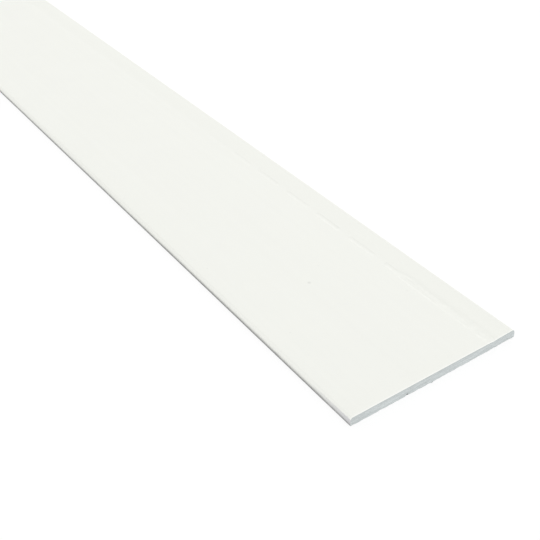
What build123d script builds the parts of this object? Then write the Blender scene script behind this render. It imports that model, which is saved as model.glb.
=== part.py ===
from build123d import *
import os

# Fibre cement lap siding plank, sold as 5/16 x 6 1/4 in x 12 ft stock: one sheet of cement, sand and
# cellulose, pressed flat, cut to width, square cut to length, and primed on its face and long edges.
#
# It lies on its back with the primed face up. X runs along it, Y across it from the lower (drip) edge
# to the upper (nailing) edge, and Z up through its thickness, in millimetres. The origin is at the
# middle of the back.

# Stock size
LENGTH = 3657.6
WIDTH = 158.75
THICKNESS = 7.94

# Long edges: the primed face rolls over into each edge, and the back arris is only eased
DRIP_EDGE_RADIUS = 1.8
NAILING_EDGE_RADIUS = 1.8
BACK_ARRIS_RADIUS = 0.8

# Nail line: a shallow line rolled into the face along the nailing edge
NAIL_LINE_INSET = 24.0
NAIL_LINE_WIDTH = 5.0
NAIL_LINE_DEPTH = 0.3

# The roller that presses the nail line is this round, and its lowest point is at the line's depth
nail_roller_radius = (NAIL_LINE_WIDTH**2 / 4 + NAIL_LINE_DEPTH**2) / (2 * NAIL_LINE_DEPTH)
nail_roller_height = THICKNESS - NAIL_LINE_DEPTH + nail_roller_radius
nail_line_y = WIDTH / 2 - NAIL_LINE_INSET

with BuildPart() as siding_plank:
    with BuildSketch(Plane.YZ) as section:
        Rectangle(WIDTH, THICKNESS, align=(Align.CENTER, Align.MIN))
        back_corners = section.vertices().group_by(Axis.Y)[0]
        fillet(back_corners, BACK_ARRIS_RADIUS)
        drip_corner = section.vertices().group_by(Axis.Y)[-1].sort_by(Axis.X)[0]
        fillet(drip_corner, DRIP_EDGE_RADIUS)
        nailing_corner = section.vertices().group_by(Axis.Y)[-1].sort_by(Axis.X)[-1]
        fillet(nailing_corner, NAILING_EDGE_RADIUS)
        with Locations((nail_line_y, nail_roller_height)):
            Circle(nail_roller_radius, mode=Mode.SUBTRACT)
    extrude(amount=LENGTH / 2, both=True)

siding_plank.part.label = "siding_plank"

os.makedirs("parts", exist_ok=True)
export_step(siding_plank.part, "parts/siding_plank.step")
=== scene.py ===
import math
from functools import partial

import bpy
import numpy as np
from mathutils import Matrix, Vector


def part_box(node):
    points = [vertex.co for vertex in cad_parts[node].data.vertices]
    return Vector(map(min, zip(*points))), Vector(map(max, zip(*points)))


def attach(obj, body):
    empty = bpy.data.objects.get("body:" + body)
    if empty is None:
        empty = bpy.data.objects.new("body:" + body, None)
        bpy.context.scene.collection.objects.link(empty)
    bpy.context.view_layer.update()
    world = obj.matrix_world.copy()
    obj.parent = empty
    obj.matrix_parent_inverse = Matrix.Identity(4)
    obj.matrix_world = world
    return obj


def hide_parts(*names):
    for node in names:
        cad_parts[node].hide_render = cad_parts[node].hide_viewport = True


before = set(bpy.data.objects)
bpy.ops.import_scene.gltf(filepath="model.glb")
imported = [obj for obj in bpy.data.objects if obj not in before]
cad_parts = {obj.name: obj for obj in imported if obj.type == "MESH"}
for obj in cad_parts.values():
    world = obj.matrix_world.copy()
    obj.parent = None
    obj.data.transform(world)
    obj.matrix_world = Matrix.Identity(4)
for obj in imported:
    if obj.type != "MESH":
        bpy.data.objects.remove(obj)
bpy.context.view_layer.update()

# The plank: cement, sand and cellulose laid down in thin wet films, pressed flat, slit to width and
# sawn square to length. Its face rolls over into both long edges, and a toothed roller has pressed a
# nail line beside the upper one. It lies on its back.

MM = 0.001
plank_low, plank_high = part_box("siding_plank")
LENGTH, WIDTH, THICKNESS = plank_high - plank_low
DRIP_EDGE_RADIUS = 1.8 * MM
NAILING_EDGE_RADIUS = 1.8 * MM
BACK_ARRIS_RADIUS = 0.8 * MM

# The nail line is pressed in dashes, and is only a light mark in the gaps between them. It starts at the
# front end with one long dash, most of it broadened, mainly to the nailing side, with a flat floor, a steep
# wall on the drip side and a gentle one on the other. That part is scuffed, from bare to twice as deep.
# Firm stretches of the line fade into faint ones and back.
NAIL_LINE_INSET = 24.0 * MM
NAIL_LINE_WIDTH = 5.0 * MM
NAIL_LINE_DEPTH = 0.3 * MM
DASH_PITCH = 46.25 * MM
GAP_LENGTH = 18.0 * MM
GAP_FADE = 2.5 * MM
FIRST_GAP = 118.6 * MM
DEPTH_IN_GAPS = 0.05
BROADENED_BY = 6.0 * MM
BROAD_LEAN = 0.2
STEEP_WALL = 1.7 * MM
GENTLE_WALL = 3.4 * MM
BROAD_TO = 96.0 * MM
BROAD_FADE = 14.0 * MM
SCUFF_RUN = 5.0 * MM
SCUFF_WIDTH = 5.0 * MM
SCUFF_SEED = 11.0
SCUFF_FROM = 0.3
SCUFF_FULL = 0.7
SCUFF_DEEPEST = 2.0
FIRM_MIDDLE = 105.0 * MM
FIRM_LENGTH = 170.0 * MM
FIRM_PITCH = 1100.0 * MM
FIRM_FADE = 210.0 * MM
FAINT_SHARE = 0.15

# What the saw leaves on both ends: rough films, and a lower arris that crumbles most on the nailing side.
# The front end also has marks of its own. Each has its place across and up the end, its reach, and how
# deep it is at its middle. A burr stands out, so its depth is below zero.
FILM_RUN = 9.0 * MM
FILM_STEP = 1.1 * MM
SAW_ROUGHNESS = 0.22 * MM
SAW_SEED = 7.0
CRUMBLE_HEIGHT = 1.6 * MM
CRUMBLE_RUN = 5.0 * MM
CRUMBLE_DEPTH = 0.8 * MM
CRUMBLE_FROM = 0.44
CRUMBLE_FULL = 0.84
MORE_CRUMBLED_FROM = 15.0 * MM
MORE_CRUMBLED_BY = 0.23
SAW_REACH = 6.0 * MM
FRONT_END_MARKS = {
    "chip": ((-27.5 * MM, 0.4 * MM), 2.0 * MM, 0.9 * MM),
    "burr": ((-4.7 * MM, 0.6 * MM), 2.0 * MM, -0.9 * MM),
    "knocked_corner": ((79.0 * MM, 6.0 * MM), 22.0 * MM, 0.35 * MM),
    "corner_burr": ((79.0 * MM, 3.0 * MM), 6.0 * MM, -0.8 * MM),
}

# How finely the skin is divided along the plank: four stations for each gap in the nail line, where it
# fades out and in again, a few behind the last gap and many before the first, where the line is scuffed.
# Both of these crowd towards the sawn end.
FRONT_STATIONS = 40
FRONT_CROWDING = 1.5
REAR_CROWDING = 2.0
GAP_STATIONS = 4
REAR_STATIONS = 3
gap_count = int((LENGTH - FIRST_GAP - GAP_LENGTH) / DASH_PITCH) + 1
STATIONS = FRONT_STATIONS + GAP_STATIONS * gap_count + REAR_STATIONS

# Across it: zones from the drip edge on, each with its width and the pitch of its columns
FINE_PITCH = 0.45 * MM
OPEN_PITCH = 1.9 * MM
EDGE_MARGIN = 2.0 * MM
LINE_MARGIN = 1.0 * MM
drip_zone = DRIP_EDGE_RADIUS + EDGE_MARGIN
line_zone = LINE_MARGIN + NAIL_LINE_WIDTH + BROADENED_BY + LINE_MARGIN
nailing_zone = NAILING_EDGE_RADIUS + EDGE_MARGIN
line_reach = NAIL_LINE_WIDTH / 2 + BROADENED_BY * (0.5 + BROAD_LEAN)
strip_zone = NAIL_LINE_INSET - line_reach - LINE_MARGIN - nailing_zone
open_zone = WIDTH - drip_zone - line_zone - strip_zone - nailing_zone
zones = [
    (drip_zone, FINE_PITCH),
    (open_zone, OPEN_PITCH),
    (line_zone, FINE_PITCH),
    (strip_zone, OPEN_PITCH),
    (nailing_zone, FINE_PITCH),
]
zone_columns = np.array([round(wide / pitch) for wide, pitch in zones])
zone_ends = np.cumsum([wide for wide, pitch in zones]) / WIDTH
column_ends = np.cumsum(zone_columns) / zone_columns.sum()

# And up its thickness
ROWS = 17


def add_node(tree, kind, inputs=None, **settings):
    """Adds a node with its settings. An input is a socket, a node, for its first output, or a value."""
    node = tree.nodes.new(kind)
    for name, value in settings.items():
        setattr(node, name, value)
    for name, value in (inputs or {}).items():
        if isinstance(value, bpy.types.Node):
            value = value.outputs[0]
        if isinstance(value, bpy.types.NodeSocket):
            tree.links.new(value, node.inputs[name])
        else:
            node.inputs[name].default_value = value
    return node


def linear(hex_colour):
    """An sRGB hex colour as linear red, green and blue, with full alpha."""
    shares = [int(hex_colour[i:i + 2], 16) / 255 for i in (1, 3, 5)]
    return (*[s / 12.92 if s <= 0.04045 else ((s + 0.055) / 1.055) ** 2.4 for s in shares], 1.0)


# Primer: a flat off-white acrylic coat, rolled on at the works over the face and the long edges. It
# gives an even, nearly matt surface with a fine stipple, faint streaks along the plank, a few specks
# and one nib, which is painted darker, partly as a speck and partly as painted shade on its bump. The
# strip above the nail line is painted a little darker, as painted shade. The coat stops short of the
# back, and low on the edges it is painted a far darker grey than the bare board, as painted shade where
# the edge meets the floor; near the ends the edges are painted greyer and that dark band reaches
# higher. A painted highlight runs along the face's arris at each sawn end. The stipple is drawn coarser
# than a real one, so that it shows.
PRIMER_LIGHT = "#F5F6F0"
PRIMER_DARK = "#F3F4EE"
STRIP_SHADE_COLOUR = "#F0F1EA"
SPECK_AND_NIB_SHADE_COLOUR = "#E4E5DF"
EDGE_CEMENT_AND_SHADE = "#808080"
MOTTLE_SIZE = 45.0 * MM
MOTTLE_SPAN = (0.6, 1.4)
STREAK_LENGTH = 600.0 * MM
STREAK_WIDTH = 7.0 * MM
STIPPLE_SIZE = 1.6 * MM
STIPPLE_HEIGHT = 0.01 * MM
SPECK_PITCH = 120.0 * MM
SPECK_RADIUS = 0.7 * MM
NIB_PLACE = (1693.4 * MM, -12.0 * MM)
NIB_RADIUS = 2.3 * MM
NIB_HEIGHT = 0.1 * MM
STRIP_SHADE_SHARE = 0.22
PRIMED_DOWN_TO = 5.2 * MM
BARE_AND_SHADED_BELOW = 0.3 * MM
RAGGED_BY = 0.6 * MM
RAGGED_RUN = 3.0 * MM
END_EDGE_GREY = "#D2D2D4"
END_GREY_RUN = 45.0 * MM
END_GREY_BELOW = 6.8 * MM
END_GREY_FADE = 1.2 * MM
END_GREY_LIFT = 1.0 * MM
ARRIS_HIGHLIGHT_COLOUR = "#FBFCF7"
ARRIS_HIGHLIGHT_WIDTH = 1.5 * MM
ARRIS_HIGHLIGHT_CORE = 0.9 * MM
PRIMER_ROUGHNESS = (0.70, 0.82)
PRIMER_IOR = 1.46

primer = bpy.data.materials.new("primer_on_fibre_cement")
primer.use_nodes = True
primer.node_tree.nodes.clear()
paint = partial(add_node, primer.node_tree)
place = paint("ShaderNodeTexCoord").outputs["Object"]
place_xyz = paint("ShaderNodeSeparateXYZ", {0: place}).outputs

mottle = paint("ShaderNodeTexNoise", {"Vector": place, "Scale": 1 / MOTTLE_SIZE, "Detail": 3.0})
streak_scale = (1 / STREAK_LENGTH, 1 / STREAK_WIDTH, 1 / STREAK_WIDTH)
streak_place = paint("ShaderNodeVectorMath", {0: place, 1: streak_scale}, operation="MULTIPLY")
streaks = paint("ShaderNodeTexNoise", {"Vector": streak_place, "Scale": 1.0, "Detail": 2.0})
patchy = paint("ShaderNodeMath", {0: mottle, 1: streaks}, operation="ADD")
patchy = paint(
    "ShaderNodeMapRange",
    {"Value": patchy, "From Min": MOTTLE_SPAN[0], "From Max": MOTTLE_SPAN[1]},
)
coat = paint(
    "ShaderNodeMix", {0: patchy, 6: linear(PRIMER_DARK), 7: linear(PRIMER_LIGHT)}, data_type="RGBA"
)

nail_line_y = plank_high.y - NAIL_LINE_INSET
# The strip above the nail line is painted a little darker: painted shade
strip_shade = paint(
    "ShaderNodeMapRange",
    {
        "Value": place_xyz["Y"],
        "From Min": nail_line_y,
        "From Max": nail_line_y + NAIL_LINE_WIDTH,
        "To Max": STRIP_SHADE_SHARE,
    },
)
coat = paint("ShaderNodeMix", {0: strip_shade, 6: coat.outputs[2], 7: linear(STRIP_SHADE_COLOUR)}, data_type="RGBA")

specks = paint(
    "ShaderNodeTexVoronoi", {"Vector": place, "Scale": 1 / SPECK_PITCH}, voronoi_dimensions="2D"
)
speck = paint(
    "ShaderNodeMapRange",
    {"Value": specks.outputs["Distance"], "From Min": SPECK_RADIUS / SPECK_PITCH, "From Max": 0.0},
)
nib_flat = paint("ShaderNodeCombineXYZ", {"X": place_xyz["X"], "Y": place_xyz["Y"]})
nib_gap = paint("ShaderNodeVectorMath", {0: nib_flat, 1: (*NIB_PLACE, 0.0)}, operation="DISTANCE")
nib = paint(
    "ShaderNodeMapRange",
    {"Value": nib_gap.outputs["Value"], "From Min": NIB_RADIUS, "From Max": 0.0},
    interpolation_type="SMOOTHSTEP",
)
# Specks and the nib are painted darker; on the nib that is partly a speck and partly painted shade on its
# bump
specks_and_nib_shade = paint("ShaderNodeMath", {0: speck, 1: nib}, operation="MAXIMUM")
coat = paint("ShaderNodeMix", {0: specks_and_nib_shade, 6: coat.outputs[2], 7: linear(SPECK_AND_NIB_SHADE_COLOUR)}, data_type="RGBA")

ragged = paint("ShaderNodeTexNoise", {"Vector": place, "Scale": 1 / RAGGED_RUN, "Detail": 3.0})
ragged = paint("ShaderNodeMapRange", {"Value": ragged, "To Min": -RAGGED_BY, "To Max": RAGGED_BY})
edge_height = paint("ShaderNodeMath", {0: place_xyz["Z"], 1: ragged}, operation="ADD")
from_middle = paint("ShaderNodeMath", {0: place_xyz["X"]}, operation="ABSOLUTE")
# A painted highlight along the face's arris at each sawn end
arris_highlight = paint(
    "ShaderNodeMapRange",
    {"Value": from_middle, "From Min": LENGTH / 2 - ARRIS_HIGHLIGHT_WIDTH, "From Max": LENGTH / 2 - ARRIS_HIGHLIGHT_CORE},
)
coat = paint(
    "ShaderNodeMix", {0: arris_highlight, 6: coat.outputs[2], 7: linear(ARRIS_HIGHLIGHT_COLOUR)}, data_type="RGBA"
)
# Near the ends the long edges are painted greyer below a ragged line, and the dark band below them reaches
# higher
end_grey_reach = paint(
    "ShaderNodeMapRange",
    {"Value": from_middle, "From Min": LENGTH / 2 - END_GREY_RUN, "From Max": LENGTH / 2},
)
end_grey = paint(
    "ShaderNodeMapRange",
    {"Value": edge_height, "From Min": END_GREY_BELOW, "From Max": END_GREY_BELOW - END_GREY_FADE},
)
end_grey = paint("ShaderNodeMath", {0: end_grey, 1: end_grey_reach}, operation="MULTIPLY")
coat = paint("ShaderNodeMix", {0: end_grey, 6: coat.outputs[2], 7: linear(END_EDGE_GREY)}, data_type="RGBA")
edge_height = paint(
    "ShaderNodeMath", {0: end_grey_reach, 1: END_GREY_LIFT, 2: edge_height}, operation="MULTIPLY_ADD"
)
# Low on the long edges the coat is painted a far darker grey than the bare board: painted shade where the
# edge meets the floor
bare_and_shaded = paint(
    "ShaderNodeMapRange",
    {"Value": edge_height, "From Min": PRIMED_DOWN_TO, "From Max": BARE_AND_SHADED_BELOW},
    interpolation_type="SMOOTHSTEP",
)
primer_colour = paint(
    "ShaderNodeMix", {0: bare_and_shaded, 6: coat.outputs[2], 7: linear(EDGE_CEMENT_AND_SHADE)}, data_type="RGBA"
)

stipple = paint("ShaderNodeTexNoise", {"Vector": place, "Scale": 1 / STIPPLE_SIZE, "Detail": 2.0})
nib_share = NIB_HEIGHT / STIPPLE_HEIGHT
relief = paint("ShaderNodeMath", {0: nib, 1: nib_share, 2: stipple}, operation="MULTIPLY_ADD")
bumps = paint("ShaderNodeBump", {"Height": relief, "Distance": STIPPLE_HEIGHT})
roughness = paint(
    "ShaderNodeMapRange",
    {"Value": mottle, "To Min": PRIMER_ROUGHNESS[0], "To Max": PRIMER_ROUGHNESS[1]},
)
coat_shader = paint(
    "ShaderNodeBsdfPrincipled",
    {
        "Base Color": primer_colour.outputs[2],
        "Roughness": roughness,
        "IOR": PRIMER_IOR,
        "Normal": bumps,
    },
)
paint("ShaderNodeOutputMaterial", {"Surface": coat_shader})

# Sawn board: the cut shows the bare grey cement and its films, which lie along the face, with paler
# cellulose fibres and small pores between them, painted dark as painted shade in their pits. It is dull
# and dusty. Its upper part is painted darker, so that the lower part, in the floor's shade, does not
# render darker: painted light. Two dark spots are painted in the front end as painted shade under its
# chip and its burr, each with its place across and up, and its darkness.
SAWN_LIGHT = "#E5EBEB"
SAWN_DARK = "#C4CACA"
TOP_PAINTED_DARKER_COLOUR = "#C8CECE"
TOP_PAINTED_DARKER_DEPTH = 3.0 * MM
TOP_PAINTED_DARKER_SHARE = 0.7
PORE_SHADE_COLOUR = "#B0B5B5"
FILM_LINE_RUN = 14.0 * MM
FILM_LINE_STEP = 0.7 * MM
PORE_PITCH = 2.6 * MM
PORE_RADIUS = 0.4 * MM
GRIT_SIZE = 0.6 * MM
GRIT_HEIGHT = 0.1 * MM
DUST_SPAN = (0.75, 1.25)
CHIP_SHADE_COLOUR = "#4A4F4F"
CHIP_SHADE_RADIUS = 0.9 * MM
CHIP_SHADE_CORE = 0.5 * MM
CEMENT_IOR = 1.5
SAWN_ROUGHNESS = 0.92
CHIP_AND_BURR_SHADES = [((-27.6 * MM, 0.65 * MM), 1.0), ((-4.6 * MM, 0.5 * MM), 0.6)]

sawn = bpy.data.materials.new("sawn_fibre_cement")
sawn.use_nodes = True
sawn.node_tree.nodes.clear()
paint = partial(add_node, sawn.node_tree)
place = paint("ShaderNodeTexCoord").outputs["Object"]
film_line_scale = (1 / FILM_LINE_RUN, 1 / FILM_LINE_RUN, 1 / FILM_LINE_STEP)
film_place = paint("ShaderNodeVectorMath", {0: place, 1: film_line_scale}, operation="MULTIPLY")
films = paint("ShaderNodeTexNoise", {"Vector": film_place, "Scale": 1.0, "Detail": 3.0, "Roughness": 0.6})
grit = paint("ShaderNodeTexNoise", {"Vector": place, "Scale": 1 / GRIT_SIZE, "Detail": 3.0})
dusty = paint("ShaderNodeMath", {0: films, 1: grit}, operation="ADD")
dusty = paint(
    "ShaderNodeMapRange",
    {"Value": dusty, "From Min": DUST_SPAN[0], "From Max": DUST_SPAN[1]},
)
board = paint("ShaderNodeMix", {0: dusty, 6: linear(SAWN_DARK), 7: linear(SAWN_LIGHT)}, data_type="RGBA")
place_xyz = paint("ShaderNodeSeparateXYZ", {0: place}).outputs
# The upper part of each end is painted darker, so that the lower part, in the floor's shade, does not render
# darker: painted light
top_painted_darker = paint(
    "ShaderNodeMapRange",
    {
        "Value": place_xyz["Z"],
        "From Min": plank_high.z - TOP_PAINTED_DARKER_DEPTH,
        "From Max": plank_high.z,
        "To Max": TOP_PAINTED_DARKER_SHARE,
    },
)
board = paint(
    "ShaderNodeMix", {0: top_painted_darker, 6: board.outputs[2], 7: linear(TOP_PAINTED_DARKER_COLOUR)}, data_type="RGBA"
)
# Pores are painted dark: painted shade in the pits that the bump sinks
pores = paint("ShaderNodeTexVoronoi", {"Vector": place, "Scale": 1 / PORE_PITCH})
pore = paint(
    "ShaderNodeMapRange",
    {"Value": pores.outputs["Distance"], "From Min": PORE_RADIUS / PORE_PITCH, "From Max": 0.0},
)
board = paint("ShaderNodeMix", {0: pore, 6: board.outputs[2], 7: linear(PORE_SHADE_COLOUR)}, data_type="RGBA")
which_end = paint("ShaderNodeMath", {0: place_xyz["X"]}, operation="SIGN")
end_place = paint("ShaderNodeCombineXYZ", {"X": which_end, "Y": place_xyz["Y"], "Z": place_xyz["Z"]})
# Two dark spots painted in the front end: painted shade under its chip and its burr
for shade_place, darkness in CHIP_AND_BURR_SHADES:
    shade_gap = paint("ShaderNodeVectorMath", {0: end_place, 1: (1.0, *shade_place)}, operation="DISTANCE")
    chip_shade = paint(
        "ShaderNodeMapRange",
        {
            "Value": shade_gap.outputs["Value"],
            "From Min": CHIP_SHADE_RADIUS,
            "From Max": CHIP_SHADE_CORE,
            "To Max": darkness,
        },
    )
    board = paint(
        "ShaderNodeMix", {0: chip_shade, 6: board.outputs[2], 7: linear(CHIP_SHADE_COLOUR)}, data_type="RGBA"
    )
sawn_relief = paint("ShaderNodeMath", {0: grit, 1: pore}, operation="SUBTRACT")
sawn_bumps = paint("ShaderNodeBump", {"Height": sawn_relief, "Distance": GRIT_HEIGHT})
sawn_shader = paint(
    "ShaderNodeBsdfPrincipled",
    {
        "Base Color": board.outputs[2],
        "Roughness": SAWN_ROUGHNESS,
        "IOR": CEMENT_IOR,
        "Normal": sawn_bumps,
    },
)
paint("ShaderNodeOutputMaterial", {"Surface": sawn_shader})

# Bare back: the unprimed side, which keeps the weave of the felt that the wet films were laid on. It
# is a blotchy cement grey, dull, with a fine square texture, whose hollows are painted darker as
# painted shade. The weave is drawn coarser than a real one, so that it shows.
BACK_LIGHT = "#CFCFCA"
BACK_DARK = "#BBBBB6"
BLOTCH_SIZE = 55.0 * MM
FELT_PITCH = 2.2 * MM
FELT_HEIGHT = 0.08 * MM
FELT_PAINTED_SHADE = 0.12
BACK_ROUGHNESS = 0.9

bare_back = bpy.data.materials.new("felt_marked_fibre_cement")
bare_back.use_nodes = True
bare_back.node_tree.nodes.clear()
paint = partial(add_node, bare_back.node_tree)
place = paint("ShaderNodeTexCoord").outputs["Object"]
blotches = paint("ShaderNodeTexNoise", {"Vector": place, "Scale": 1 / BLOTCH_SIZE, "Detail": 6.0})
felt_turns = 2 * math.pi / FELT_PITCH
felt_place = paint("ShaderNodeVectorMath", {0: place, 1: (felt_turns,) * 3}, operation="MULTIPLY")
felt_waves = paint("ShaderNodeVectorMath", {0: felt_place}, operation="SINE")
felt_xyz = paint("ShaderNodeSeparateXYZ", {0: felt_waves}).outputs
felt = paint("ShaderNodeMath", {0: felt_xyz["X"], 1: felt_xyz["Y"]}, operation="MULTIPLY")
# The weave's hollows are painted darker than its ridges: painted shade
blotches_and_felt_shade = paint("ShaderNodeMath", {0: felt, 1: FELT_PAINTED_SHADE, 2: blotches}, operation="MULTIPLY_ADD")
back_colour = paint(
    "ShaderNodeMix", {0: blotches_and_felt_shade, 6: linear(BACK_DARK), 7: linear(BACK_LIGHT)}, data_type="RGBA"
)
back_bumps = paint("ShaderNodeBump", {"Height": felt, "Distance": FELT_HEIGHT})
back_shader = paint(
    "ShaderNodeBsdfPrincipled",
    {
        "Base Color": back_colour.outputs[2],
        "Roughness": BACK_ROUGHNESS,
        "IOR": CEMENT_IOR,
        "Normal": back_bumps,
    },
)
paint("ShaderNodeOutputMaterial", {"Surface": back_shader})

# The plank's shape, as a tree: a box with a dense skin is stretched to size, rounded along its long
# edges, pressed with the nail line and roughened at its ends.
plank_tree = bpy.data.node_groups.new("pressed_and_sawn_plank", "GeometryNodeTree")
plank_sizes = {
    "Length": LENGTH,
    "Width": WIDTH,
    "Thickness": THICKNESS,
    "Drip Edge Radius": DRIP_EDGE_RADIUS,
    "Nailing Edge Radius": NAILING_EDGE_RADIUS,
    "Back Arris Radius": BACK_ARRIS_RADIUS,
    "Nail Line Inset": NAIL_LINE_INSET,
    "Nail Line Width": NAIL_LINE_WIDTH,
    "Nail Line Depth": NAIL_LINE_DEPTH,
    "Dash Pitch": DASH_PITCH,
    "Gap Length": GAP_LENGTH,
    "Gap Fade": GAP_FADE,
    "First Gap": FIRST_GAP,
    "Broadened By": BROADENED_BY,
    "Firm Middle": FIRM_MIDDLE,
    "Firm Length": FIRM_LENGTH,
    "Firm Pitch": FIRM_PITCH,
    "Last Gap End": FIRST_GAP + (gap_count - 1) * DASH_PITCH + GAP_LENGTH,
    "Saw Roughness": SAW_ROUGHNESS,
    "Crumble Depth": CRUMBLE_DEPTH,
    "Saw Seed": SAW_SEED,
    "Scuff Seed": SCUFF_SEED,
}
plank_sockets = {
    name: plank_tree.interface.new_socket(name, in_out="INPUT", socket_type="NodeSocketFloat")
    for name in plank_sizes
}
plank_tree.interface.new_socket("Geometry", in_out="OUTPUT", socket_type="NodeSocketGeometry")
shape = partial(add_node, plank_tree)
given = shape("NodeGroupInput").outputs

# The box runs from -1 to 1 each way, and each face remembers the way that it looked at first
box = shape(
    "GeometryNodeMeshCube",
    {
        "Size": (2.0, 2.0, 2.0),
        "Vertices X": STATIONS,
        "Vertices Y": int(zone_columns.sum()) + 1,
        "Vertices Z": ROWS,
    },
)
sides = shape("GeometryNodeCaptureAttribute", {"Geometry": box}, domain="FACE")
sides.capture_items.new("VECTOR", "Side")
plank_tree.links.new(shape("GeometryNodeInputNormal").outputs[0], sides.inputs["Side"])
box_xyz = shape("ShaderNodeSeparateXYZ", {0: shape("GeometryNodeInputPosition")}).outputs

# Along: stations are counted from the front end. Four stand at each gap, two at each end of it.
counted = shape(
    "ShaderNodeMapRange",
    {"Value": box_xyz["X"], "From Min": 1.0, "From Max": -1.0, "To Max": STATIONS - 1.0},
)
station = shape("ShaderNodeMath", {0: counted}, operation="ROUND")
past_first = shape("ShaderNodeMath", {0: station, 1: FRONT_STATIONS}, operation="SUBTRACT")
gap_step = shape("ShaderNodeMath", {0: past_first, 1: GAP_STATIONS}, operation="FLOORED_MODULO")
gap_number = shape("ShaderNodeMath", {0: past_first, 1: GAP_STATIONS}, operation="DIVIDE")
gap_number = shape("ShaderNodeMath", {0: gap_number}, operation="FLOOR")
gap_start = shape(
    "ShaderNodeMath",
    {0: gap_number, 1: given["Dash Pitch"], 2: given["First Gap"]},
    operation="MULTIPLY_ADD",
)
at_gap = shape(
    "ShaderNodeMath",
    {0: gap_step, 1: given["Gap Fade"], 2: gap_start},
    operation="MULTIPLY_ADD",
)
gap_flat = shape(
    "ShaderNodeMath",
    {0: given["Gap Fade"], 1: 1.0 - GAP_STATIONS, 2: given["Gap Length"]},
    operation="MULTIPLY_ADD",
)
last_before_flat = GAP_STATIONS / 2 - 0.5
past_flat = shape("FunctionNodeCompare", {0: gap_step, 1: last_before_flat}, operation="GREATER_THAN")
at_gap = shape("ShaderNodeMath", {0: past_flat, 1: gap_flat, 2: at_gap}, operation="MULTIPLY_ADD")
front_share = shape("ShaderNodeMath", {0: station, 1: FRONT_STATIONS}, operation="DIVIDE")
front_share = shape("ShaderNodeMath", {0: front_share, 1: FRONT_CROWDING}, operation="POWER")
at_front = shape("ShaderNodeMath", {0: front_share, 1: given["First Gap"]}, operation="MULTIPLY")
to_rear = shape("ShaderNodeMath", {0: STATIONS - 1.0, 1: station}, operation="SUBTRACT")
rear_share = shape("ShaderNodeMath", {0: to_rear, 1: REAR_STATIONS}, operation="DIVIDE")
rear_share = shape("ShaderNodeMath", {0: rear_share, 1: REAR_CROWDING}, operation="POWER")
rear_run = shape("ShaderNodeMath", {0: given["Length"], 1: given["Last Gap End"]}, operation="SUBTRACT")
from_rear = shape("ShaderNodeMath", {0: rear_share, 1: rear_run}, operation="MULTIPLY")
at_rear = shape("ShaderNodeMath", {0: given["Length"], 1: from_rear}, operation="SUBTRACT")
is_front = shape("FunctionNodeCompare", {0: station, 1: FRONT_STATIONS}, operation="LESS_THAN")
is_rear = shape("FunctionNodeCompare", {0: to_rear, 1: REAR_STATIONS}, operation="LESS_THAN")
from_front = shape("GeometryNodeSwitch", {0: is_front, 1: at_gap, 2: at_front}, input_type="FLOAT")
from_front = shape("GeometryNodeSwitch", {0: is_rear, 1: from_front, 2: at_rear}, input_type="FLOAT")
# An edge that runs round the plank at a gap's station is sharp, so that dashes and gaps shade apart
runs_round = shape("FunctionNodeCompare", {0: counted, 1: station, "Epsilon": 0.25}, operation="EQUAL")
is_gap = shape("FunctionNodeBooleanMath", {0: is_front, 1: is_rear}, operation="NOR")
dash_end = shape("FunctionNodeBooleanMath", {0: runs_round, 1: is_gap}, operation="AND")
ringed = shape(
    "GeometryNodeSetShadeSmooth",
    {"Geometry": sides.outputs["Geometry"], "Selection": dash_end, "Shade Smooth": False},
    domain="EDGE",
)

half_length = shape("ShaderNodeMath", {0: given["Length"], 1: 0.5}, operation="MULTIPLY")
along = shape("ShaderNodeMath", {0: half_length, 1: from_front}, operation="SUBTRACT")

# Across and up: columns crowd where the zones say, and rows are even
column = shape("ShaderNodeMapRange", {"Value": box_xyz["Y"], "From Min": -1.0})
spacing = shape("ShaderNodeFloatCurve", {"Value": column})
for column_end, zone_end in zip(column_ends[:-1], zone_ends[:-1]):
    spacing.mapping.curves[0].points.new(column_end, zone_end)
for point in spacing.mapping.curves[0].points:
    point.handle_type = "VECTOR"
spacing.mapping.update()
across = shape("ShaderNodeMath", {0: spacing, 1: 0.5}, operation="SUBTRACT")
across = shape("ShaderNodeMath", {0: across, 1: given["Width"]}, operation="MULTIPLY")
up = shape("ShaderNodeMath", {0: box_xyz["Z"], 1: 0.5}, operation="MULTIPLY")
up = shape("ShaderNodeMath", {0: up, 1: given["Thickness"]}, operation="MULTIPLY")

# Rounding: each corner of the section has its radius, and a point nearer to the corner than that is
# drawn in, so that square rings round the fillet's centre become circles
on_nailing_side = shape("FunctionNodeCompare", {0: across, 1: 0.0}, operation="GREATER_THAN")
on_face_side = shape("FunctionNodeCompare", {0: up, 1: 0.0}, operation="GREATER_THAN")
face_radius = shape(
    "GeometryNodeSwitch",
    {0: on_nailing_side, 1: given["Drip Edge Radius"], 2: given["Nailing Edge Radius"]},
    input_type="FLOAT",
)
radius = shape(
    "GeometryNodeSwitch",
    {0: on_face_side, 1: given["Back Arris Radius"], 2: face_radius},
    input_type="FLOAT",
)
section_spot = shape("ShaderNodeCombineXYZ", {"Y": across, "Z": up})
section_size = shape("ShaderNodeCombineXYZ", {"Y": given["Width"], "Z": given["Thickness"]})
half_section = shape("ShaderNodeVectorMath", {0: section_size, "Scale": 0.5}, operation="SCALE")
fillet_inset = shape("ShaderNodeCombineXYZ", {"Y": radius, "Z": radius})
core = shape("ShaderNodeVectorMath", {0: half_section, 1: fillet_inset}, operation="SUBTRACT")
core_other_way = shape("ShaderNodeVectorMath", {0: core, "Scale": -1.0}, operation="SCALE")
in_core = shape("ShaderNodeVectorMath", {0: section_spot, 1: core}, operation="MINIMUM")
in_core = shape("ShaderNodeVectorMath", {0: in_core, 1: core_other_way}, operation="MAXIMUM")
past_core = shape("ShaderNodeVectorMath", {0: section_spot, 1: in_core}, operation="SUBTRACT")
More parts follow.
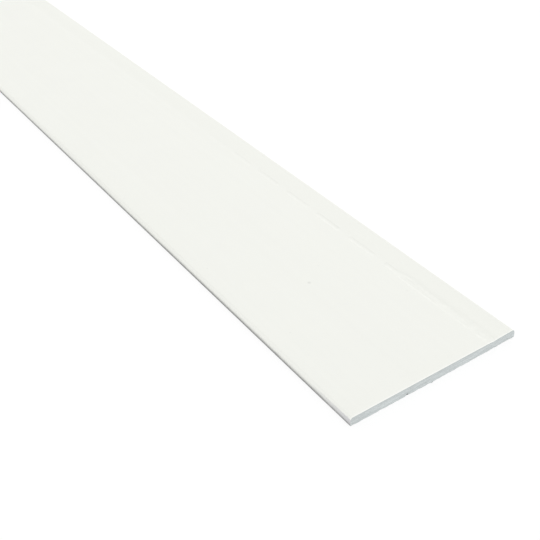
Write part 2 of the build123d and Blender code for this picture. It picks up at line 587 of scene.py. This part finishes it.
ring_size = shape("ShaderNodeVectorMath", {0: past_core}, operation="ABSOLUTE")
ring_xyz = shape("ShaderNodeSeparateXYZ", {0: ring_size}).outputs
ring = shape("ShaderNodeMath", {0: ring_xyz["Y"], 1: ring_xyz["Z"]}, operation="MAXIMUM")
reach = shape("ShaderNodeVectorMath", {0: past_core}, operation="LENGTH").outputs["Value"]
drawn_in = shape("ShaderNodeMath", {0: ring, 1: reach}, operation="DIVIDE")
past_core = shape("ShaderNodeVectorMath", {0: past_core, "Scale": drawn_in}, operation="SCALE")
section_spot = shape("ShaderNodeVectorMath", {0: in_core, 1: past_core}, operation="ADD")
section_xyz = shape("ShaderNodeSeparateXYZ", {0: section_spot}).outputs
height_share = shape("ShaderNodeMath", {0: section_xyz["Z"], 1: given["Thickness"]}, operation="DIVIDE")
height_share = shape("ShaderNodeMath", {0: height_share, 1: 0.5}, operation="ADD")
height = shape("ShaderNodeMath", {0: height_share, 1: given["Thickness"]}, operation="MULTIPLY")

# Nail line: a shallow cup across, in dashes along, deepest at the face and nothing at the back
broad = shape(
    "ShaderNodeMapRange",
    {"Value": from_front, "From Min": BROAD_TO + BROAD_FADE, "From Max": BROAD_TO},
)
broadened = shape("ShaderNodeMath", {0: broad, 1: given["Broadened By"]}, operation="MULTIPLY")
line_width = shape("ShaderNodeMath", {0: given["Nail Line Width"], 1: broadened}, operation="ADD")
half_width = shape("ShaderNodeMath", {0: given["Width"], 1: 0.5}, operation="MULTIPLY")
line_middle = shape("ShaderNodeMath", {0: half_width, 1: given["Nail Line Inset"]}, operation="SUBTRACT")
line_middle = shape("ShaderNodeMath", {0: broadened, 1: BROAD_LEAN, 2: line_middle}, operation="MULTIPLY_ADD")
off_line = shape("ShaderNodeMath", {0: section_xyz["Y"], 1: line_middle}, operation="SUBTRACT")
off_line = shape("ShaderNodeMath", {0: off_line, 1: line_width}, operation="DIVIDE")
cup = shape("ShaderNodeMath", {0: off_line, 1: off_line}, operation="MULTIPLY")
cup = shape("ShaderNodeMapRange", {"Value": cup, "From Min": 0.5**2, "From Max": 0.0})
broad_width = NAIL_LINE_WIDTH + BROADENED_BY
steep_wall = shape(
    "ShaderNodeMapRange",
    {"Value": off_line, "From Min": -0.5, "From Max": STEEP_WALL / broad_width - 0.5},
)
gentle_wall = shape(
    "ShaderNodeMapRange",
    {"Value": off_line, "From Min": 0.5, "From Max": 0.5 - GENTLE_WALL / broad_width},
)
trough = shape("ShaderNodeMath", {0: steep_wall, 1: gentle_wall}, operation="MINIMUM")
cup = shape("ShaderNodeMix", {0: broad, 2: cup, 3: trough})
half_gap = shape("ShaderNodeMath", {0: given["Gap Length"], 1: 0.5}, operation="MULTIPLY")
half_flat = shape("ShaderNodeMath", {0: half_gap, 1: given["Gap Fade"]}, operation="SUBTRACT")
first_middle = shape("ShaderNodeMath", {0: given["First Gap"], 1: half_gap}, operation="ADD")
from_gap = shape("ShaderNodeMath", {0: from_front, 1: given["First Gap"]}, operation="MAXIMUM")
from_gap = shape("ShaderNodeMath", {0: from_gap, 1: first_middle}, operation="SUBTRACT")
half_pitch = shape("ShaderNodeMath", {0: given["Dash Pitch"], 1: 0.5}, operation="MULTIPLY")
from_gap = shape("ShaderNodeMath", {0: from_gap, 1: half_pitch}, operation="PINGPONG")
dash = shape(
    "ShaderNodeMapRange",
    {"Value": from_gap, "From Min": half_flat, "From Max": half_gap, "To Min": DEPTH_IN_GAPS},
)
half_firm = shape("ShaderNodeMath", {0: given["Firm Length"], 1: 0.5}, operation="MULTIPLY")
half_firm_pitch = shape("ShaderNodeMath", {0: given["Firm Pitch"], 1: 0.5}, operation="MULTIPLY")
from_firm = shape("ShaderNodeMath", {0: from_front, 1: given["Firm Middle"]}, operation="SUBTRACT")
from_firm = shape("ShaderNodeMath", {0: from_firm, 1: half_firm_pitch}, operation="PINGPONG")
past_firm = shape("ShaderNodeMath", {0: from_firm, 1: half_firm}, operation="SUBTRACT")
firm = shape(
    "ShaderNodeMapRange",
    {"Value": past_firm, "From Min": FIRM_FADE, "From Max": 0.0, "To Min": FAINT_SHARE},
)
scuff_spot = shape("ShaderNodeCombineXYZ", {"X": from_front, "Y": section_xyz["Y"]})
scuff_scale = (1 / SCUFF_RUN, 1 / SCUFF_WIDTH, 0.0)
scuff_spot = shape("ShaderNodeVectorMath", {0: scuff_spot, 1: scuff_scale}, operation="MULTIPLY")
scuff = shape(
    "ShaderNodeTexNoise",
    {"Vector": scuff_spot, "W": given["Scuff Seed"], "Scale": 1.0},
    noise_dimensions="4D",
)
scuff = shape(
    "ShaderNodeMapRange",
    {"Value": scuff, "From Min": SCUFF_FROM, "From Max": SCUFF_FULL, "To Max": SCUFF_DEEPEST},
)
scuff = shape("ShaderNodeMix", {0: broad, 2: 1.0, 3: scuff})
firm = shape("ShaderNodeMath", {0: firm, 1: scuff}, operation="MULTIPLY")
pressed = shape("ShaderNodeMath", {0: cup, 1: dash}, operation="MULTIPLY")
pressed = shape("ShaderNodeMath", {0: pressed, 1: firm}, operation="MULTIPLY")
pressed = shape("ShaderNodeMath", {0: pressed, 1: given["Nail Line Depth"]}, operation="MULTIPLY")
pressed = shape("ShaderNodeMath", {0: pressed, 1: height_share}, operation="MULTIPLY")
height = shape("ShaderNodeMath", {0: height, 1: pressed}, operation="SUBTRACT")

# Sawn ends: films and grit all over, and crumbs missing from the lower arris
end_sign = shape("ShaderNodeMath", {0: box_xyz["X"]}, operation="SIGN")
end_spot = shape("ShaderNodeCombineXYZ", {"X": end_sign, "Y": section_xyz["Y"], "Z": height})
film_scale = (1.0, 1 / FILM_RUN, 1 / FILM_STEP)
film_spot = shape("ShaderNodeVectorMath", {0: end_spot, 1: film_scale}, operation="MULTIPLY")
film_cut = shape(
    "ShaderNodeTexNoise",
    {"Vector": film_spot, "W": given["Saw Seed"], "Scale": 1.0, "Detail": 4.0, "Roughness": 0.65},
    noise_dimensions="4D",
)
film_cut = shape("ShaderNodeMath", {0: film_cut, 1: given["Saw Roughness"]}, operation="MULTIPLY")
crumble_scale = (1.0, 1 / CRUMBLE_RUN, 0.0)
crumble_spot = shape("ShaderNodeVectorMath", {0: end_spot, 1: crumble_scale}, operation="MULTIPLY")
crumble = shape(
    "ShaderNodeTexNoise",
    {"Vector": crumble_spot, "W": given["Saw Seed"], "Scale": 1.0, "Detail": 3.0},
    noise_dimensions="4D",
)
more_crumbled = shape(
    "ShaderNodeMapRange",
    {
        "Value": section_xyz["Y"],
        "From Min": MORE_CRUMBLED_FROM,
        "From Max": plank_high.y,
        "To Max": MORE_CRUMBLED_BY,
    },
)
crumble = shape("ShaderNodeMath", {0: crumble, 1: more_crumbled}, operation="ADD")
crumble = shape(
    "ShaderNodeMapRange",
    {"Value": crumble, "From Min": CRUMBLE_FROM, "From Max": CRUMBLE_FULL},
)
near_back = shape(
    "ShaderNodeMapRange",
    {"Value": height, "From Min": CRUMBLE_HEIGHT, "From Max": 0.0},
    interpolation_type="SMOOTHSTEP",
)
crumble = shape("ShaderNodeMath", {0: crumble, 1: near_back}, operation="MULTIPLY")
sawn_off = shape(
    "ShaderNodeMath", {0: crumble, 1: given["Crumble Depth"], 2: film_cut}, operation="MULTIPLY_ADD"
)
for mark_place, mark_reach, mark_depth in FRONT_END_MARKS.values():
    mark_gap = shape("ShaderNodeVectorMath", {0: end_spot, 1: (1.0, *mark_place)}, operation="DISTANCE")
    mark_share = shape(
        "ShaderNodeMapRange",
        {"Value": mark_gap.outputs["Value"], "From Min": mark_reach, "From Max": 0.0},
        interpolation_type="SMOOTHSTEP",
    )
    sawn_off = shape(
        "ShaderNodeMath", {0: mark_share, 1: mark_depth, 2: sawn_off}, operation="MULTIPLY_ADD"
    )
from_end = shape("ShaderNodeMath", {0: given["Length"], 1: from_front}, operation="SUBTRACT")
from_end = shape("ShaderNodeMath", {0: from_end, 1: from_front}, operation="MINIMUM")
near_end = shape("ShaderNodeMapRange", {"Value": from_end, "From Min": SAW_REACH, "From Max": 0.0})
sawn_off = shape("ShaderNodeMath", {0: sawn_off, 1: near_end}, operation="MULTIPLY")
sawn_off = shape("ShaderNodeMath", {0: sawn_off, 1: end_sign}, operation="MULTIPLY")
along = shape("ShaderNodeMath", {0: along, 1: sawn_off}, operation="SUBTRACT")

# The shaped skin is smooth but for the sawn arrises, and wears three finishes
shaped_spot = shape("ShaderNodeCombineXYZ", {"X": along, "Y": section_xyz["Y"], "Z": height})
shaped = shape("GeometryNodeSetPosition", {"Geometry": ringed, "Position": shaped_spot})
SHARP_ANGLE = math.radians(50)
edge_angle = shape("GeometryNodeInputMeshEdgeAngle")
sharp_edge = shape("FunctionNodeCompare", {0: edge_angle, 1: SHARP_ANGLE}, operation="GREATER_THAN")
smooth = shape("GeometryNodeSetShadeSmooth", {"Geometry": shaped}, domain="FACE")
smooth = shape(
    "GeometryNodeSetShadeSmooth",
    {"Geometry": smooth, "Selection": sharp_edge, "Shade Smooth": False},
    domain="EDGE",
)
side_xyz = shape("ShaderNodeSeparateXYZ", {0: sides.outputs["Side"]}).outputs
looks_along = shape("ShaderNodeMath", {0: side_xyz["X"]}, operation="ABSOLUTE")
is_end = shape("FunctionNodeCompare", {0: looks_along, 1: 0.5}, operation="GREATER_THAN")
is_back = shape("FunctionNodeCompare", {0: side_xyz["Z"], 1: -0.5}, operation="LESS_THAN")
whole = shape("GeometryNodeRealizeInstances", {"Geometry": smooth})
whole = shape("GeometryNodeSetMaterial", {"Geometry": whole, "Material": primer})
whole = shape("GeometryNodeSetMaterial", {"Geometry": whole, "Selection": is_end, "Material": sawn})
whole = shape("GeometryNodeSetMaterial", {"Geometry": whole, "Selection": is_back, "Material": bare_back})
shape("NodeGroupOutput", {"Geometry": whole})

blank = bpy.data.objects.new("plank_blank", bpy.data.meshes.new("plank_blank"))
bpy.context.scene.collection.objects.link(blank)
plank_modifier = blank.modifiers.new("pressed_and_sawn_plank", "NODES")
plank_modifier.node_group = plank_tree
for name, socket in plank_sockets.items():
    plank_modifier[socket.identifier] = plank_sizes[name]
evaluated = blank.evaluated_get(bpy.context.evaluated_depsgraph_get())
skin = bpy.data.meshes.new_from_object(evaluated)
bpy.data.objects.remove(blank)
# The box came with an empty finish, which nothing wears
skin.materials.pop(index=0)
plank = bpy.data.objects.new("lap_siding_plank", skin)
bpy.context.scene.collection.objects.link(plank)

# The skin is also laid out flat on one square sheet, so that a bake of its finishes stays sharp: the face
# with both long edges in four lengths, the back in two, and the two ends in one row. A quad that a cut
# between two lengths would split stays whole, and sticks out by less than half a dash pitch.
FACE_LENGTHS = 4
BACK_LENGTHS = 2
SHEET_MARGIN = 0.006
END_SPACING = 2.0 * MM

spots = np.empty(3 * len(skin.vertices), np.float32)
skin.vertices.foreach_get("co", spots)
quads = np.empty(len(skin.loops), np.int32)
skin.loops.foreach_get("vertex_index", quads)
finishes = np.empty(len(skin.polygons), np.int32)
skin.polygons.foreach_get("material_index", finishes)
x, y, z = spots.reshape(-1, 3)[quads].reshape(-1, 4, 3).transpose(2, 0, 1)

along_skin = x - plank_low.x
round_skin = y + np.sign(y) * (plank_high.z - z) - plank_low.y + THICKNESS
front_end = y - plank_low.y
rear_end = plank_high.y - y + WIDTH + END_SPACING
both_ends = np.where(x > 0, front_end, rear_end)
sheet_rows = {
    primer: (along_skin, LENGTH, FACE_LENGTHS, round_skin, WIDTH + 2 * THICKNESS),
    bare_back: (along_skin, LENGTH, BACK_LENGTHS, plank_high.y - y, WIDTH),
    sawn: (both_ends, 2 * WIDTH + END_SPACING, 1, z - plank_low.z, THICKNESS),
}
sheet = np.empty((len(skin.polygons), 4, 2), np.float32)
row_foot = SHEET_MARGIN
for finish, (run, whole_run, lengths, rise, whole_rise) in sheet_rows.items():
    chosen = finishes == skin.materials.find(finish.name)
    length_run = whole_run / lengths
    number = np.floor(run[chosen].mean(axis=1, keepdims=True) / length_run).clip(0, lengths - 1)
    scale = (1 - 2 * SHEET_MARGIN) / (length_run + DASH_PITCH)
    row_rise = whole_rise * scale + SHEET_MARGIN
    sheet[chosen, :, 0] = SHEET_MARGIN + (run[chosen] - number * length_run + DASH_PITCH / 2) * scale
    sheet[chosen, :, 1] = row_foot + number * row_rise + rise[chosen] * scale
    row_foot += lengths * row_rise
skin.uv_layers.new(name="OFBake").uv.foreach_set("vector", sheet.ravel())

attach(plank, "root")
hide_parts("siding_plank")


# The floor: a wide sheet of plain white card that the plank lies on. It is lit like any card, but the
# camera sees most of it as an even white, so that it keeps only a light shadow of the plank.
FLOOR_SIZE = 60.0
FLOOR_DROP = 0.1 * MM
CARD_COLOUR = "#F2F2F2"
CARD_EVENNESS = 0.8
CARD_WHITE = 1.06

card = bpy.data.materials.new("white_card")
card.use_nodes = True
card.node_tree.nodes.clear()
paint = partial(add_node, card.node_tree)
rays = paint("ShaderNodeLightPath").outputs
seen = paint("ShaderNodeMath", {0: rays["Is Camera Ray"], 1: rays["Is Glossy Ray"]}, operation="MAXIMUM")
seen = paint("ShaderNodeMath", {0: seen, 1: rays["Is Transmission Ray"]}, operation="MAXIMUM")
evenness = paint("ShaderNodeMath", {0: seen, 1: CARD_EVENNESS}, operation="MULTIPLY")
card_lit = paint("ShaderNodeBsdfDiffuse", {"Color": linear(CARD_COLOUR)})
card_even = paint("ShaderNodeEmission", {"Strength": CARD_WHITE})
card_shader = paint("ShaderNodeMixShader", {0: evenness, 1: card_lit, 2: card_even})
paint("ShaderNodeOutputMaterial", {"Surface": card_shader})

floor_mesh = bpy.data.meshes.new("floor")
floor_turns = [(-1, -1), (1, -1), (1, 1), (-1, 1)]
floor_corners = [(x * FLOOR_SIZE / 2, y * FLOOR_SIZE / 2, -FLOOR_DROP) for x, y in floor_turns]
floor_mesh.from_pydata(floor_corners, [], [range(4)])
floor_mesh.materials.append(card)
floor = bpy.data.objects.new("floor", floor_mesh)
bpy.context.scene.collection.objects.link(floor)


# The light: an even white tent all round, a key box low on the nailing side, which models the nail
# line, and a fill box beside the camera. Both boxes stand far off, so that the plank is lit evenly along
# its length. Together they light an upward face by about one.
TENT_STRENGTH = 0.888

tent = bpy.data.worlds.new("white_tent")
tent.use_nodes = True
tent.node_tree.nodes.clear()
paint = partial(add_node, tent.node_tree)
rays = paint("ShaderNodeLightPath").outputs
seen = paint("ShaderNodeMath", {0: rays["Is Camera Ray"], 1: rays["Is Glossy Ray"]}, operation="MAXIMUM")
seen = paint("ShaderNodeMath", {0: seen, 1: rays["Is Transmission Ray"]}, operation="MAXIMUM")
tent_strength = paint("ShaderNodeMapRange", {"Value": seen, "To Min": TENT_STRENGTH, "To Max": 1.0})
tent_light = paint("ShaderNodeBackground", {"Color": (1.0, 1.0, 1.0, 1.0), "Strength": tent_strength})
paint("ShaderNodeOutputWorld", {"Surface": tent_light})
bpy.context.scene.world = tent

# Each box has its place, its width and height, and its share: how much it lights a surface that faces
# it at the aim, where the tent alone at strength one would give one
LIGHT_AIM = Vector((1.3, 0.0, 0.0))
boxes = {
    "key_box": (Vector((-4.5, 6.8, 2.1)), (4.8, 2.6), 0.33),
    "fill_box": (Vector((4.6, -6.0, 1.5)), (4.0, 2.2), 0.10),
}
for name, (box_place, (box_width, box_height), share) in boxes.items():
    lamp = bpy.data.objects.new(name, bpy.data.lights.new(name, "AREA"))
    lamp.data.shape = "RECTANGLE"
    lamp.data.size = box_width
    lamp.data.size_y = box_height
    from_aim = box_place - LIGHT_AIM
    lamp.data.energy = share * math.pi ** 2 * from_aim.length_squared
    lamp.location = box_place
    lamp.rotation_mode = "QUATERNION"
    lamp.rotation_quaternion = from_aim.to_track_quat("Z", "Y")
    bpy.context.scene.collection.objects.link(lamp)


# The camera: above the front end and off the drip edge, level, looking down along the plank. The far
# end runs out of the picture.
PICTURE_WIDE = 540.0
FOCAL_PIXELS = 877.7
CAMERA_PITCH = math.radians(36.62)
CAMERA_HEADING = math.radians(35.03)
CAMERA_PAST_END = 306.1 * MM
CAMERA_OFF_EDGE = 280.7 * MM
CAMERA_HEIGHT = 437.8 * MM

camera = bpy.data.objects.new("camera", bpy.data.cameras.new("camera"))
camera.data.sensor_width = 36.0
camera.data.lens = camera.data.sensor_width * FOCAL_PIXELS / PICTURE_WIDE
camera.data.clip_start = 0.01
camera.location = (plank_high.x + CAMERA_PAST_END, plank_low.y - CAMERA_OFF_EDGE, CAMERA_HEIGHT)
camera.rotation_euler = (math.pi / 2 - CAMERA_PITCH, 0.0, math.pi / 2 - CAMERA_HEADING)
bpy.context.scene.collection.objects.link(camera)
bpy.context.scene.camera = camera
bpy.context.scene.view_settings.view_transform = "Standard"
